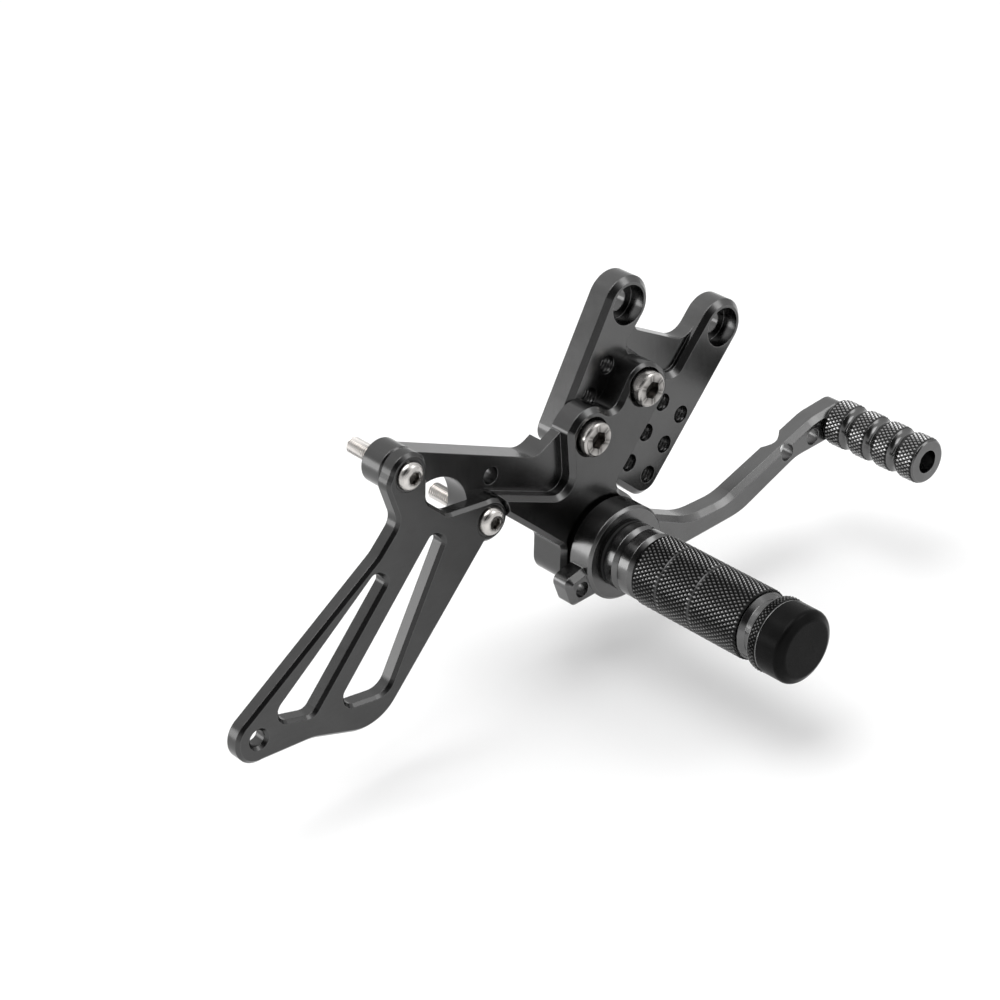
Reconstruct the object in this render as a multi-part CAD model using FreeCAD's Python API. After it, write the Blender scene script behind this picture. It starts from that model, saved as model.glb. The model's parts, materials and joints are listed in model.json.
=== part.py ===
import FreeCAD, Part
import math
import os

# Right-hand rearset: footpeg, brake lever and heel guard on an adjustable mount plate.
# Millimetres. X forward, Y inward to the motorbike, Z up.
# The origin is the rear frame-bolt hole, on the mount plate's seating face.
# Plates are drawn in grid directions: u along a row of holes, v down a column.
# The rows of holes run down and forward at the stance angle.

os.makedirs("parts", exist_ok=True)

STANCE_ANGLE = 45.0

# Depths across the machine, measured along Y
PLATE_THICKNESS = 10.0
CARRIER_LAP_THICKNESS = 10.0
GUARD_THICKNESS = 5.5
ARM_THICKNESS = 10.0

# Clearances
THREAD_CLEARANCE = 0.05
RUNNING_CLEARANCE = 0.03
END_FLOAT = 0.05
SEATING_CLEARANCE = 0.02
PART_GAP = 0.8

# Mount plate
FRONT_LUG_U = 52.0
FRONT_LUG_V = -13.2
LUG_RADIUS = 10.5
FRAME_BOLT_HOLE_DIAMETER = 8.5
FRAME_BOLT_COUNTERBORE_DIAMETER = 15.0
FRAME_BOLT_COUNTERBORE_DEPTH = 6.5
PLATE_BOTTOM_V = 55.5
PLATE_LEFT_FOOT_U = 0.8
PLATE_BEVEL = 2.0
POCKET_DEPTH = 3.5
POCKET_BOTTOM_V = 12.2
GRID_U = 5.2
GRID_V = 21.7
GRID_PITCH = 12.5
GRID_COLUMNS = 5
GRID_ROWS = 3
GRID_CORE_DIAMETER = 6.8

# Carrier screws
CARRIER_SCREW_DIAMETER = 8.0
CARRIER_SCREW_HEAD_DIAMETER = 13.0
CARRIER_SCREW_HEAD_HEIGHT = 8.0
CARRIER_SCREW_HEX = 6.0
CARRIER_SCREW_HEX_DEPTH = 4.0
CARRIER_SCREW_STAND = 3.7
CARRIER_SCREW_LENGTH = 15.0
CARRIER_HOLE_DIAMETER = 8.5
CARRIER_COUNTERBORE_DIAMETER = 15.0

# Carrier plate
CARRIER_RIGHT_U = 30.4
CARRIER_TOP_V = 12.0
CARRIER_BEVEL = 1.8
PIVOT_U = 39.2
PIVOT_V = 76.1
PIVOT_BOSS_RADIUS = 19.0
RIB_BOTTOM_V = 85.2
STUD_U = -66.9
STUD_V = 89.4
STUD_SPACING = 46.6
STUD_BOSS_RADIUS = 8.0
STUD_BOSS_BEVEL = 1.2
ARCH_RADIUS = 15.0
ARCH_U = -40.5
ARCH_V = 98.0
ARM_HOLE_U = -25.5
ARM_HOLE_V = 75.9
ARM_HOLE_DIAMETER = 6.6

# Heel guard
GUARD_LUG_RADIUS = 8.0
GUARD_TIP_U = -68.9
GUARD_TIP_V = 188.9
GUARD_TIP_RADIUS = 9.0
GUARD_EYELET_DIAMETER = 6.0
GUARD_BEVEL = 1.2
STUD_DIAMETER = 6.0
STUD_HEAD_DIAMETER = 10.5
STUD_HEAD_HEIGHT = 3.3
STUD_HEX = 4.0
STUD_HEX_DEPTH = 2.0
STUD_LENGTH = 30.0
STUD_HEAD_STAND = 3.0
STUD_COUNTERBORE_DIAMETER = 12.0
STUD_HOLE_DIAMETER = 6.4
STUD_RELIEF_LENGTH = 1.0
STUD_RELIEF_DEPTH = 0.35
STUD_RELIEF_STAND = 0.2

# Pivot stack
PEG_BOLT_DIAMETER = 10.0
PEG_BOLT_HEAD_DIAMETER = 16.0
PEG_BOLT_HEAD_HEIGHT = 10.0
PEG_BOLT_HEX = 8.0
PEG_BOLT_HEX_DEPTH = 5.0
PEG_BOLT_LENGTH = 50.0
PEG_WASHER_DIAMETER = 20.0
PEG_WASHER_THICKNESS = 2.0
SLEEVE_DIAMETER = 16.0
BUSH_DIAMETER = 20.0
INNER_THRUST_DIAMETER = 32.0
INNER_THRUST_THICKNESS = 1.5
OUTER_THRUST_DIAMETER = 25.0
OUTER_THRUST_THICKNESS = 1.0

# Brake lever
HUB_RADIUS = 18.0
HUB_LENGTH = 9.9
HUB_EDGE_BREAK = 1.0
LEVER_THICKNESS = 8.0
LEVER_BACK_GAP = 0.45
LEVER_BEVEL = 2.0
TIP_X = 112.5
TIP_Z = 5.0
TIP_RADIUS = 7.0
TIP_CORNER_RADIUS = 6.4
TIP_TOP_RUN = 12.5
TIP_BOTTOM_RUN = 22.5
ADJUST_PITCH = 13.8
ADJUST_DROP = 0.9
ADJUST_COUNT = 3
ADJUST_HOLE_DIAMETER = 6.4
COUNTERSINK_DIAMETER = 12.4
EAR_BOTTOM_Z = -12.6
EAR_TOP_Z = -1.0
PUSHROD_X = -20.4
PUSHROD_Z = -6.2
PUSHROD_HOLE_DIAMETER = 6.0

# Footpeg
PEG_RADIUS = 12.7
PEG_COLLAR_LENGTH = 6.2
PEG_GROOVE_LENGTH = 1.2
PEG_GROOVE_RADIUS = 10.8
PEG_GRIP_LENGTH = 50.0
PEG_RING_LENGTH = 4.0
PEG_RING_STAND = 0.7
PEG_NECK_LENGTH = 6.0
PEG_NECK_RADIUS = 10.6
PEG_THREAD_DEPTH = 24.0
CAP_LENGTH = 11.0
CAP_STAND = 0.2
CAP_SPIGOT_RADIUS = 6.0
CAP_SPIGOT_LENGTH = 12.0

# Toe peg
TOE_LENGTH = 44.0
TOE_RADIUS = 8.5
TOE_GROOVE_RADIUS = 7.4
TOE_GROOVE_LENGTH = 2.2
TOE_BANDS = 4
TOE_BORE_DIAMETER = 9.0
TOE_BORE_DEPTH = 7.0
TOE_SCREW_DIAMETER = 6.0
TOE_SCREW_LENGTH = 22.0
TOE_SCREW_HEAD_DIAMETER = 12.0
TOE_SCREW_HEX = 4.0
TOE_SCREW_HEX_DEPTH = 2.0
TOE_THREAD_DEPTH = 18.0

# Levels along Y, each taken from the stack of parts
PLATE_FRONT = -PLATE_THICKNESS
CARRIER_FRONT = PLATE_FRONT - CARRIER_LAP_THICKNESS
ARM_FRONT = CARRIER_FRONT + GUARD_THICKNESS
ARM_BACK = ARM_FRONT + ARM_THICKNESS
CARRIER_SCREW_FRONT = CARRIER_FRONT - CARRIER_SCREW_STAND
CARRIER_SCREW_SEAT = CARRIER_SCREW_FRONT + CARRIER_SCREW_HEAD_HEIGHT
STUD_FRONT = CARRIER_FRONT - STUD_HEAD_STAND
STUD_SEAT = STUD_FRONT + STUD_HEAD_HEIGHT
HUB_BACK = CARRIER_FRONT - INNER_THRUST_THICKNESS - END_FLOAT
HUB_FRONT = HUB_BACK - HUB_LENGTH
OUTER_THRUST_BACK = HUB_FRONT - END_FLOAT
PEG_BASE = OUTER_THRUST_BACK - OUTER_THRUST_THICKNESS
LEVER_BACK = HUB_BACK - LEVER_BACK_GAP
LEVER_FRONT = LEVER_BACK - LEVER_THICKNESS

Vector = FreeCAD.Vector
INWARD = Vector(0, 1, 0)
OUTWARD = Vector(0, -1, 0)


def on_plate(u, v, y):
    """A point given in the plate's grid directions."""
    return Vector(u, y, -v)


def on_lever(x, z, y):
    """A point given from the pivot, in the machine's own directions."""
    return Vector(x, y, z)


def stance(shape):
    """Turns a shape drawn in grid directions to the way it sits on the machine."""
    tilted = shape.copy()
    tilted.rotate(Vector(0, 0, 0), INWARD, STANCE_ANGLE)
    return tilted


def pivot_place(shape):
    """Moves a shape drawn from the pivot to the pivot."""
    tilt = math.radians(STANCE_ANGLE)
    pivot_x = PIVOT_U * math.cos(tilt) - PIVOT_V * math.sin(tilt)
    pivot_z = -PIVOT_U * math.sin(tilt) - PIVOT_V * math.cos(tilt)
    moved = shape.copy()
    moved.translate(Vector(pivot_x, 0, pivot_z))
    return moved


def rounded_outline(corners, spot, y):
    """A closed wire through corners, each given as two coordinates and a corner radius."""
    points = [spot(c[0], c[1], y) for c in corners]
    count = len(points)
    starts = []
    ends = []
    middles = []
    for i in range(count):
        here = points[i]
        radius = corners[i][2]
        before = (points[i - 1] - here).normalize()
        after = (points[(i + 1) % count] - here).normalize()
        if radius <= 0:
            starts.append(here)
            ends.append(here)
            middles.append(None)
            continue
        half = before.getAngle(after) / 2.0
        reach = radius / math.tan(half)
        bisector = (before + after).normalize()
        centre = here + bisector * (radius / math.sin(half))
        starts.append(here + before * reach)
        ends.append(here + after * reach)
        middles.append(centre - bisector * radius)
    edges = []
    for i in range(count):
        if middles[i] is not None:
            edges.append(Part.Arc(starts[i], middles[i], ends[i]).toShape())
        following = (i + 1) % count
        if ends[i].distanceToPoint(starts[following]) > 1e-6:
            edges.append(Part.LineSegment(ends[i], starts[following]).toShape())
    return Part.Wire(edges)


def slab(corners, spot, back, front):
    """A flat piece of the given outline between two depths."""
    face = Part.Face(rounded_outline(corners, spot, back))
    return face.extrude(Vector(0, front - back, 0))


def disc(spot, a, b, radius, back, front):
    """A round bar along Y, from the back depth out to the front depth."""
    return Part.makeCylinder(radius, back - front, spot(a, b, back), OUTWARD)


def hex_socket(spot, a, b, across_flats, front, depth):
    """The hexagon hollow of a screw head, from its front face inward."""
    radius = across_flats / math.sqrt(3.0)
    points = []
    for i in range(7):
        angle = math.radians(60.0 * i)
        points.append(spot(a + radius * math.cos(angle), b + radius * math.sin(angle), front))
    face = Part.Face(Part.makePolygon(points))
    return face.extrude(Vector(0, depth, 0))


def edges_at(shape, level):
    """Edges lying wholly at one depth."""
    found = []
    for edge in shape.Edges:
        box = edge.BoundBox
        if abs(box.YMin - level) < 1e-4 and abs(box.YMax - level) < 1e-4:
            found.append(edge)
    return found


def turned(profile, spot, a, b):
    """A turned piece: (depth, radius) steps spun about an axis along Y."""
    points = [Vector(radius, depth, 0) for depth, radius in profile]
    points.append(points[0])
    face = Part.Face(Part.makePolygon(points))
    solid = face.revolve(Vector(0, 0, 0), INWARD, 360)
    place = spot(a, b, 0)
    solid.translate(place)
    return solid


def save(shape, node):
    """Writes one node's file."""
    shape.exportStep("parts/" + node + ".step")


# Grid positions in use
def grid_spot(column, row):
    return GRID_U + (column - 1) * GRID_PITCH, GRID_V + (row - 1) * GRID_PITCH


UPPER_SCREW = grid_spot(2, 1)
LOWER_SCREW = grid_spot(1, 3)
STUDS = [(STUD_U, STUD_V), (STUD_U + STUD_SPACING, STUD_V)]


FRONT_LUG_LEFT = FRONT_LUG_U - LUG_RADIUS


def plate_outline(between_lugs):
    """The mount plate's outline; its left side runs straight off the rear lug's round."""
    foot = math.hypot(PLATE_LEFT_FOOT_U, PLATE_BOTTOM_V)
    lean = math.asin(LUG_RADIUS / foot) + math.atan2(PLATE_LEFT_FOOT_U, PLATE_BOTTOM_V)
    left_top_u = PLATE_LEFT_FOOT_U - (PLATE_BOTTOM_V + LUG_RADIUS) * math.tan(lean)
    lug_right = FRONT_LUG_U + LUG_RADIUS
    lug_top = FRONT_LUG_V - LUG_RADIUS
    rear_lug = [
        (left_top_u, -LUG_RADIUS, LUG_RADIUS),
        (LUG_RADIUS, -LUG_RADIUS, LUG_RADIUS),
    ]
    rest = [
        (FRONT_LUG_LEFT, lug_top, LUG_RADIUS),
        (lug_right, lug_top, LUG_RADIUS),
        (lug_right, PLATE_BOTTOM_V, 8.0),
        (PLATE_LEFT_FOOT_U, PLATE_BOTTOM_V, 6.0),
    ]
    return rear_lug + between_lugs + rest


# Mount plate: a full floor, and a bevelled upper layer with a pocket between the lugs
POCKET_FLOOR = PLATE_FRONT + POCKET_DEPTH
notch = [(LUG_RADIUS, 6.0, 4.0), (FRONT_LUG_LEFT, -1.9, 8.0)]
pocket = [(LUG_RADIUS, POCKET_BOTTOM_V, 3.0), (FRONT_LUG_LEFT, POCKET_BOTTOM_V, 5.0)]
plate_floor = slab(plate_outline(notch), on_plate, 0.0, POCKET_FLOOR)
plate_top = slab(plate_outline(pocket), on_plate, POCKET_FLOOR, PLATE_FRONT)
plate_top = plate_top.makeChamfer(PLATE_BEVEL, edges_at(plate_top, PLATE_FRONT))
mount_plate = plate_floor.fuse(plate_top).removeSplitter()
for lug_u, lug_v in [(0.0, 0.0), (FRONT_LUG_U, FRONT_LUG_V)]:
    mount_plate = mount_plate.cut(
        disc(on_plate, lug_u, lug_v, FRAME_BOLT_HOLE_DIAMETER / 2, 1.0, PLATE_FRONT - 1.0))
    mount_plate = mount_plate.cut(
        disc(on_plate, lug_u, lug_v, FRAME_BOLT_COUNTERBORE_DIAMETER / 2,
             PLATE_FRONT + FRAME_BOLT_COUNTERBORE_DEPTH, PLATE_FRONT - 1.0))
for row in range(1, GRID_ROWS + 1):
    for column in range(1, GRID_COLUMNS + 1):
        hole = grid_spot(column, row)
        hole_radius = GRID_CORE_DIAMETER / 2
        if hole in (UPPER_SCREW, LOWER_SCREW):
            hole_radius = CARRIER_SCREW_DIAMETER / 2 + THREAD_CLEARANCE
        mount_plate = mount_plate.cut(
            disc(on_plate, hole[0], hole[1], hole_radius, 1.0, PLATE_FRONT - 1.0))
save(stance(mount_plate), "mount_plate")

# Carrier plate: a lap on the mount plate, a thick foot under it and a thinner arm behind
carrier_outline = [
    (8.0, CARRIER_TOP_V, 9.0),
    (CARRIER_RIGHT_U, CARRIER_TOP_V + 1.0, 9.0),
    (CARRIER_RIGHT_U, PIVOT_V - PIVOT_BOSS_RADIUS, 4.0),
    (PIVOT_U + PIVOT_BOSS_RADIUS, PIVOT_V - PIVOT_BOSS_RADIUS, PIVOT_BOSS_RADIUS),
    (PIVOT_U + PIVOT_BOSS_RADIUS, PIVOT_V + PIVOT_BOSS_RADIUS, PIVOT_BOSS_RADIUS),
    (PIVOT_U - 10.0, PIVOT_V + PIVOT_BOSS_RADIUS, 8.0),
    (PIVOT_U - 18.0, RIB_BOTTOM_V, 3.0),
    (-14.0, RIB_BOTTOM_V, 0),
    (-22.0, 80.5, 0),
    (12.7, 68.1, 6.0),
    (-5.3, 50.1, 3.0),
    (-5.3, 36.2, 10.0),
    (11.0, 36.2, 5.0),
]
carrier = slab(carrier_outline, on_plate, ARM_BACK, CARRIER_FRONT)
guard_lug_u, guard_lug_v = STUDS[1]
carrier = carrier.removeSplitter()
carrier = carrier.makeChamfer(CARRIER_BEVEL, edges_at(carrier, CARRIER_FRONT))
lug_clear = GUARD_LUG_RADIUS + PART_GAP
carrier = carrier.cut(disc(on_plate, guard_lug_u, guard_lug_v, lug_clear, ARM_FRONT, CARRIER_FRONT - 1.0))
arm_outline = [
    (STUD_U, 82.4, 0),
    (-9.0, 62.6, 8.0),
    (-4.6, 50.8, 0),
    (14.0, 69.4, 0),
    (12.0, RIB_BOTTOM_V - 1.0, 0),
    (guard_lug_u + 6.5, RIB_BOTTOM_V - 0.5, 0),
    (guard_lug_u, guard_lug_v, 0),
    (STUD_U, STUD_V, 0),
]
arm = slab(arm_outline, on_plate, ARM_BACK, ARM_FRONT)
for stud_u, stud_v in STUDS:
    boss = disc(on_plate, stud_u, stud_v, STUD_BOSS_RADIUS, ARM_BACK, ARM_FRONT)
    boss = boss.makeChamfer(STUD_BOSS_BEVEL, edges_at(boss, ARM_FRONT))
    arm = arm.fuse(boss)
arch = disc(on_plate, ARCH_U, ARCH_V, ARCH_RADIUS, ARM_BACK + 1.0, ARM_FRONT - 1.0)
arm = arm.cut(arch)
carrier = carrier.fuse(arm)
lap_clear = Part.makeBox(200.0, 40.0, 200.0, on_plate(-100.0, PLATE_BOTTOM_V + PART_GAP, PLATE_FRONT))
carrier = carrier.cut(lap_clear)
carrier = carrier.removeSplitter()
for screw_u, screw_v in [UPPER_SCREW, LOWER_SCREW]:
    carrier = carrier.cut(
        disc(on_plate, screw_u, screw_v, CARRIER_HOLE_DIAMETER / 2, 1.0, CARRIER_FRONT - 1.0))
    carrier = carrier.cut(
        disc(on_plate, screw_u, screw_v, CARRIER_COUNTERBORE_DIAMETER / 2,
             CARRIER_SCREW_SEAT, CARRIER_FRONT - 1.0))
for stud_u, stud_v in STUDS:
    carrier = carrier.cut(
        disc(on_plate, stud_u, stud_v, STUD_DIAMETER / 2 + THREAD_CLEARANCE, 1.0, CARRIER_FRONT - 1.0))
carrier = carrier.cut(
    disc(on_plate, ARM_HOLE_U, ARM_HOLE_V, ARM_HOLE_DIAMETER / 2, 1.0, CARRIER_FRONT - 1.0))
carrier = carrier.cut(
    disc(on_plate, PIVOT_U, PIVOT_V, PEG_BOLT_DIAMETER / 2 + THREAD_CLEARANCE, 1.0, CARRIER_FRONT - 1.0))
save(stance(carrier), "carrier_plate")


def cap_screw(spot, a, b, front, head_diameter, head_height, diameter, length, hex_size, hex_depth):
    """A socket cap screw with its head outward."""
    seat = front + head_height
    screw = disc(spot, a, b, head_diameter / 2, seat, front)
    screw = screw.makeChamfer(0.5, edges_at(screw, front))
    screw = screw.fuse(disc(spot, a, b, diameter / 2, seat + length, seat))
    return screw.cut(hex_socket(spot, a, b, hex_size, front, hex_depth))


carrier_screws = []
for screw_u, screw_v in [UPPER_SCREW, LOWER_SCREW]:
    screw = cap_screw(
        on_plate, screw_u, screw_v, CARRIER_SCREW_FRONT, CARRIER_SCREW_HEAD_DIAMETER,
        CARRIER_SCREW_HEAD_HEIGHT, CARRIER_SCREW_DIAMETER, CARRIER_SCREW_LENGTH,
        CARRIER_SCREW_HEX, CARRIER_SCREW_HEX_DEPTH)
    carrier_screws.append(stance(screw))
save(Part.makeCompound(carrier_screws), "carrier_screws")

# Heel guard
guard_outline = [
    (STUD_U - GUARD_LUG_RADIUS, STUD_V, 0),
    (-73.4, 96.6, 5.0),
    (-59.9, 104.5, 6.0),
    (-60.4, 118.0, 15.0),
    (GUARD_TIP_U - 0.97 * GUARD_TIP_RADIUS, GUARD_TIP_V - 0.22 * GUARD_TIP_RADIUS, 0),
    (GUARD_TIP_U + 0.58 * GUARD_TIP_RADIUS, GUARD_TIP_V + 0.80 * GUARD_TIP_RADIUS, 0),
    (-45.5, 181.8, 20.0),
    (-18.6, 170.0, 18.0),
    (-17.2, 96.6, 0),
    (guard_lug_u, guard_lug_v, 0),
    (guard_lug_u - 5.6, guard_lug_v - 5.6, 0),
    (-40.6, 94.4, 5.0),
    (-53.0, 94.2, 4.0),
    (STUD_U + 6.4, STUD_V - 4.75, 0),
    (STUD_U, STUD_V, 0),
]
guard = slab(guard_outline, on_plate, ARM_FRONT, CARRIER_FRONT)
for stud_u, stud_v in STUDS:
    guard = guard.fuse(disc(on_plate, stud_u, stud_v, GUARD_LUG_RADIUS, ARM_FRONT, CARRIER_FRONT))
guard = guard.fuse(
    disc(on_plate, GUARD_TIP_U, GUARD_TIP_V, GUARD_TIP_RADIUS, ARM_FRONT, CARRIER_FRONT))
guard = guard.removeSplitter()
rear_slot = [(-57.8, 123.0, 2.6), (-51.2, 123.0, 2.6), (-51.4, 174.6, 4.0), (-68.2, 183.2, 4.0)]
front_slot = [(-42.6, 102.4, 2.6), (-36.2, 102.4, 2.6), (-24.0, 157.5, 7.0), (-42.4, 170.0, 4.0)]
for slot in (rear_slot, front_slot):
    guard = guard.cut(slab(slot, on_plate, ARM_FRONT + 1.0, CARRIER_FRONT - 1.0))
guard = guard.cut(
    disc(on_plate, GUARD_TIP_U, GUARD_TIP_V, GUARD_EYELET_DIAMETER / 2, ARM_FRONT + 1.0, CARRIER_FRONT - 1.0))
guard = guard.makeChamfer(GUARD_BEVEL, edges_at(guard, CARRIER_FRONT))
for stud_u, stud_v in STUDS:
    guard = guard.cut(
        disc(on_plate, stud_u, stud_v, STUD_HOLE_DIAMETER / 2, ARM_FRONT + 1.0, CARRIER_FRONT - 1.0))
    guard = guard.cut(
        disc(on_plate, stud_u, stud_v, STUD_COUNTERBORE_DIAMETER / 2, STUD_SEAT, CARRIER_FRONT - 1.0))
save(stance(guard), "heel_guard")

# Heel guard screws: button heads, long enough to carry the brake cylinder behind the arm,
# with a relief groove where the thread comes out of the arm
stud_screws = []
dome_sphere = (STUD_HEAD_DIAMETER ** 2 / 4 + STUD_HEAD_HEIGHT ** 2) / (2 * STUD_HEAD_HEIGHT)
for stud_u, stud_v in STUDS:
    ball = Part.makeSphere(dome_sphere, on_plate(stud_u, stud_v, STUD_FRONT + dome_sphere))
    head = disc(on_plate, stud_u, stud_v, STUD_HEAD_DIAMETER / 2, STUD_SEAT, STUD_FRONT).common(ball)
    screw = head.fuse(
        disc(on_plate, stud_u, stud_v, STUD_DIAMETER / 2, STUD_SEAT + STUD_LENGTH, STUD_SEAT - 0.5))
    screw = screw.removeSplitter()
    screw = screw.cut(hex_socket(on_plate, stud_u, stud_v, STUD_HEX, STUD_FRONT - 0.5, STUD_HEX_DEPTH + 0.5))
    relief_back = ARM_BACK + STUD_RELIEF_STAND
    relief_front = relief_back - STUD_RELIEF_LENGTH
    relief = disc(on_plate, stud_u, stud_v, STUD_DIAMETER / 2 + 1.0, relief_back, relief_front)
    core_radius = STUD_DIAMETER / 2 - STUD_RELIEF_DEPTH
    relief = relief.cut(disc(on_plate, stud_u, stud_v, core_radius, relief_back + 1.0, relief_front - 1.0))
    screw = screw.cut(relief)
    stud_screws.append(stance(screw))
save(Part.makeCompound(stud_screws), "heel_guard_screws")

# Pivot stack, drawn from the pivot
sleeve = disc(on_lever, 0, 0, SLEEVE_DIAMETER / 2, CARRIER_FRONT, PEG_BASE)
sleeve = sleeve.cut(
    disc(on_lever, 0, 0, PEG_BOLT_DIAMETER / 2 + THREAD_CLEARANCE, CARRIER_FRONT + 1.0, PEG_BASE - 1.0))
save(pivot_place(sleeve), "pivot_sleeve")


def ring(outer_diameter, bore_radius, back, front):
    """A flat washer or plain bush."""
    body = disc(on_lever, 0, 0, outer_diameter / 2, back, front)
    return body.cut(disc(on_lever, 0, 0, bore_radius, back + 1.0, front - 1.0))


sleeve_bore = SLEEVE_DIAMETER / 2 + RUNNING_CLEARANCE
inner_thrust = ring(INNER_THRUST_DIAMETER, sleeve_bore, CARRIER_FRONT, CARRIER_FRONT - INNER_THRUST_THICKNESS)
save(pivot_place(inner_thrust), "inner_thrust_washer")
outer_thrust = ring(OUTER_THRUST_DIAMETER, sleeve_bore, OUTER_THRUST_BACK, PEG_BASE)
save(pivot_place(outer_thrust), "outer_thrust_washer")
bush = ring(BUSH_DIAMETER, sleeve_bore, HUB_BACK, HUB_FRONT)
save(pivot_place(bush), "lever_bush")
bolt_washer = ring(
    PEG_WASHER_DIAMETER, PEG_BOLT_DIAMETER / 2 + THREAD_CLEARANCE, ARM_BACK + PEG_WASHER_THICKNESS, ARM_BACK)
save(pivot_place(bolt_washer), "peg_bolt_washer")

# Brake lever: hub, cranked toe arm and pushrod ear
lever_outline = [
    (16.0, 7.6, 8.0),
    (34.0, -1.8, 25.0),
    (52.0, -2.9, 25.0),
    (TIP_X - TIP_TOP_RUN, 11.2, 20.0),
    (TIP_X + TIP_RADIUS, TIP_Z + TIP_RADIUS, TIP_CORNER_RADIUS),
    (TIP_X + TIP_RADIUS, TIP_Z - TIP_RADIUS, TIP_CORNER_RADIUS),
    (TIP_X - TIP_BOTTOM_RUN, -2.2, 20.0),
    (60.0, EAR_BOTTOM_Z, 25.0),
    (-24.2, EAR_BOTTOM_Z, 3.0),
    (-27.6, EAR_TOP_Z, 3.0),
]
lever = slab(lever_outline, on_lever, LEVER_BACK, LEVER_FRONT)
lever = lever.makeChamfer(LEVER_BEVEL, edges_at(lever, LEVER_FRONT))
hub = disc(on_lever, 0, 0, HUB_RADIUS, HUB_BACK, HUB_FRONT)
hub = hub.makeChamfer(HUB_EDGE_BREAK, edges_at(hub, HUB_FRONT))
lever = lever.fuse(hub).removeSplitter()
lever = lever.cut(
    disc(on_lever, 0, 0, BUSH_DIAMETER / 2 + SEATING_CLEARANCE, HUB_BACK + 1.0, HUB_FRONT - 1.0))
for i in range(ADJUST_COUNT):
    hole_x = TIP_X - i * ADJUST_PITCH
    hole_z = TIP_Z - i * ADJUST_DROP
    lever = lever.cut(
        disc(on_lever, hole_x, hole_z, ADJUST_HOLE_DIAMETER / 2, LEVER_BACK + 1.0, LEVER_FRONT - 1.0))
    sink_depth = (COUNTERSINK_DIAMETER - ADJUST_HOLE_DIAMETER) / 2
    sink = Part.makeCone(
        COUNTERSINK_DIAMETER / 2, ADJUST_HOLE_DIAMETER / 2, sink_depth,
        on_lever(hole_x, hole_z, LEVER_BACK), OUTWARD)
    lever = lever.cut(sink)
lever = lever.cut(
    disc(on_lever, PUSHROD_X, PUSHROD_Z, PUSHROD_HOLE_DIAMETER / 2, LEVER_BACK + 1.0, LEVER_FRONT - 1.0))
save(pivot_place(lever), "brake_lever")

# Footpeg: two collars, a knurled grip, a necked end and a ring against the cap
collar_end = PEG_BASE - PEG_COLLAR_LENGTH
second_start = collar_end - PEG_GROOVE_LENGTH
second_end = second_start - PEG_COLLAR_LENGTH
grip_start = second_end - PEG_GROOVE_LENGTH
grip_end = grip_start - PEG_GRIP_LENGTH
ring_start = grip_end - PEG_NECK_LENGTH
ring_end = ring_start - PEG_RING_LENGTH
ring_radius = PEG_RADIUS + PEG_RING_STAND
cap_radius = ring_radius + CAP_STAND
thread_radius = PEG_BOLT_DIAMETER / 2 + THREAD_CLEARANCE
socket_radius = CAP_SPIGOT_RADIUS + SEATING_CLEARANCE
socket_end = ring_end + CAP_SPIGOT_LENGTH + 1.0
thread_end = PEG_BASE - PEG_THREAD_DEPTH
peg_profile = [
    (PEG_BASE, thread_radius),
    (PEG_BASE, PEG_RADIUS - 1.0),
    (PEG_BASE - 1.0, PEG_RADIUS),
    (collar_end + 1.6, PEG_RADIUS),
    (collar_end, PEG_RADIUS - 1.4),
    (collar_end, PEG_GROOVE_RADIUS),
    (second_start, PEG_GROOVE_RADIUS),
    (second_start, PEG_RADIUS),
    (second_end + 1.6, PEG_RADIUS),
    (second_end, PEG_RADIUS - 1.4),
    (second_end, PEG_GROOVE_RADIUS),
    (grip_start, PEG_GROOVE_RADIUS),
    (grip_start, PEG_RADIUS),
    (grip_end, PEG_RADIUS),
    (grip_end, PEG_RADIUS - 0.9),
    (grip_end - 2.0, PEG_NECK_RADIUS),
    (ring_start, PEG_NECK_RADIUS),
    (ring_start, ring_radius),
    (ring_end, ring_radius),
    (ring_end, socket_radius),
    (socket_end, socket_radius),
    (socket_end, 0.0),
    (thread_end - 3.0, 0.0),
    (thread_end, thread_radius),
]
footpeg = turned(peg_profile, on_lever, 0, 0)
save(pivot_place(footpeg), "footpeg")

cap_profile = [
    (ring_end + CAP_SPIGOT_LENGTH, 0.0),
    (ring_end + CAP_SPIGOT_LENGTH, CAP_SPIGOT_RADIUS - 0.8),
    (ring_end + CAP_SPIGOT_LENGTH - 0.8, CAP_SPIGOT_RADIUS),
    (ring_end, CAP_SPIGOT_RADIUS),
    (ring_end, cap_radius - 0.5),
    (ring_end - 0.5, cap_radius),
    (ring_end - CAP_LENGTH + 1.8, cap_radius),
    (ring_end - CAP_LENGTH, cap_radius - 3.0),
    (ring_end - CAP_LENGTH, 0.0),
]
cap = turned(cap_profile, on_lever, 0, 0)
rim_edges = [edge for edge in cap.Edges if edge.Curve.TypeId == "Part::GeomCircle"
             and edge.BoundBox.YMax < ring_end - 1.0]
cap = cap.makeFillet(2.0, rim_edges)
save(pivot_place(cap), "peg_end_cap")

# Peg bolt, head on the inner side
bolt_seat = ARM_BACK + PEG_WASHER_THICKNESS
peg_bolt = disc(on_lever, 0, 0, PEG_BOLT_HEAD_DIAMETER / 2, bolt_seat + PEG_BOLT_HEAD_HEIGHT, bolt_seat)
peg_bolt = peg_bolt.makeChamfer(0.6, edges_at(peg_bolt, bolt_seat + PEG_BOLT_HEAD_HEIGHT))
peg_bolt = peg_bolt.fuse(
    disc(on_lever, 0, 0, PEG_BOLT_DIAMETER / 2, bolt_seat, bolt_seat - PEG_BOLT_LENGTH))
peg_bolt = peg_bolt.cut(
    hex_socket(on_lever, 0, 0, PEG_BOLT_HEX, bolt_seat + PEG_BOLT_HEAD_HEIGHT - PEG_BOLT_HEX_DEPTH,
               PEG_BOLT_HEX_DEPTH))
save(pivot_place(peg_bolt), "peg_bolt")

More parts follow.
